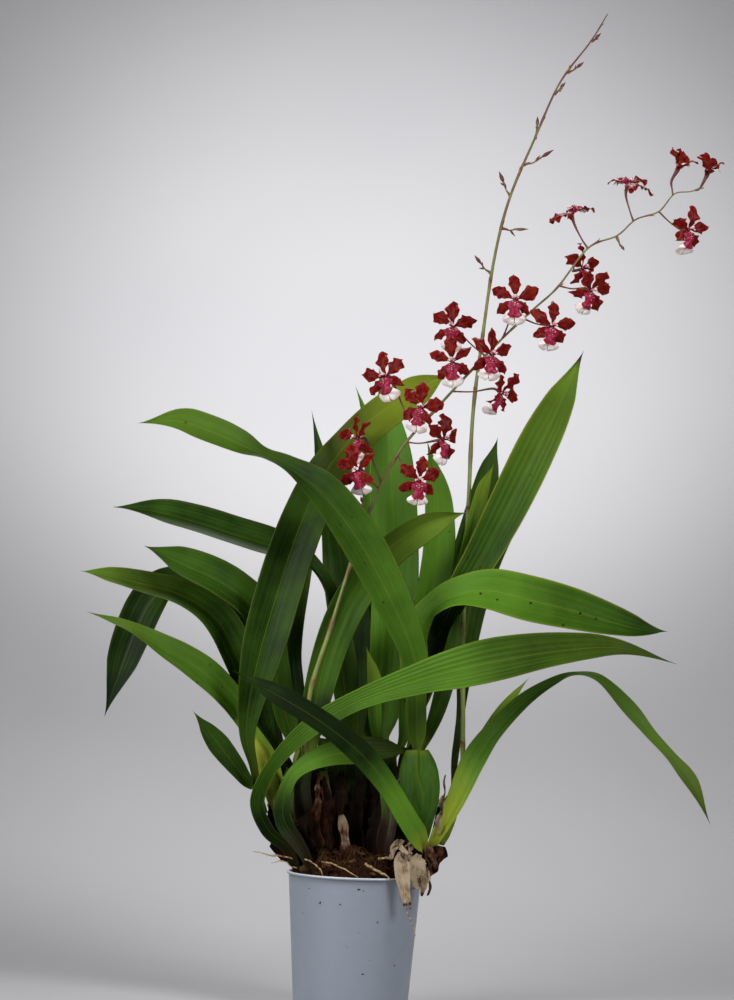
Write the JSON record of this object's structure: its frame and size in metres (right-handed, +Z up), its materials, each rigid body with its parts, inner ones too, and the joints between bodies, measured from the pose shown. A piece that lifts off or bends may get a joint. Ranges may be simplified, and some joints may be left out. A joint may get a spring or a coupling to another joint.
{
  "type": "potted oncidium orchid",
  "caption": "Oncidium orchid in a round plastic pot: strap leaves on pseudobulbs, an arching spike of small maroon flowers with white-edged lips, and a taller spike in bud.",
  "frame": {"origin": "centre of the pot's flat base", "axes": "+Z up along the pot's axis; -Y is the plant's front, the side that most flowers face; +X to the right seen from the front"},
  "size_m": [0.5554, 0.256, 0.9008],
  "materials": {
    "pot_plastic": "satin pale blue-grey plastic",
    "bark_mix": "dark damp bark and moss",
    "leaf_green": "satin green leaf with fine parallel veins",
    "pseudobulb_green": "smooth yellow-green, ridged",
    "dry_husk": "dry papery sheath",
    "spike_stem": "satin olive green stem",
    "tepal_maroon": "satin maroon petal"
  },
  "bodies": {
    "root": {"bulb_back_far_right": "pseudobulb_green", "bulb_back_left": "pseudobulb_green", "bulb_back_right": "pseudobulb_green", "bulb_dry_brown": "dry_husk", "bulb_front_right": "pseudobulb_green", "bulb_left_inner": "pseudobulb_green", "bulb_left_yellow": "pseudobulb_green", "bulb_right": "pseudobulb_green", "dry_bract": "dry_husk", "dry_sheath": "dry_husk", "flower_01": "tepal_maroon", "flower_02": "tepal_maroon", "flower_03": "tepal_maroon", "flower_04": "tepal_maroon", "flower_05": "tepal_maroon", "flower_06": "tepal_maroon", "flower_07": "tepal_maroon", "flower_08": "tepal_maroon", "flower_09": "tepal_maroon", "flower_10": "tepal_maroon", "flower_11": "tepal_maroon", "flower_12": "tepal_maroon", "flower_13": "tepal_maroon", "flower_14": "tepal_maroon", "flower_15": "tepal_maroon", "flower_16": "tepal_maroon", "flower_17": "tepal_maroon", "flower_half_open_1": "tepal_maroon", "flower_half_open_2": "tepal_maroon", "growing_medium": "bark_mix", "leaf_back_centre": "leaf_green", "leaf_back_centre_left": "leaf_green", "leaf_back_centre_right": "leaf_green", "leaf_back_grey": "leaf_green", "leaf_back_grey_tip": "leaf_green", "leaf_back_pale_tip": "leaf_green", "leaf_centre_bright": "leaf_green", "leaf_centre_young": "leaf_green", "leaf_front_dark": "leaf_green", "leaf_left_bright_arch": "leaf_green", "leaf_left_front_long": "leaf_green", "leaf_left_hanging": "leaf_green", "leaf_left_high_arch": "leaf_green", "leaf_left_inner_upright": "leaf_green", "leaf_left_low_arch": "leaf_green", "leaf_left_middle_arch": "leaf_green", "leaf_left_short": "leaf_green", "leaf_left_tall": "leaf_green", "leaf_low_crossing": "leaf_green", "leaf_right_arching": "leaf_green", "leaf_right_neck": "leaf_green", "leaf_right_pleated": "leaf_green", "leaf_right_small": "leaf_green", "leaf_right_spotted": "leaf_green", "leaf_right_tall": "leaf_green", "leaf_right_tall_back": "leaf_green", "pot": "pot_plastic", "rhizome": "pseudobulb_green", "spike_in_bud": "spike_stem", "spike_in_flower": "spike_stem"}
  },
  "joints": []
}
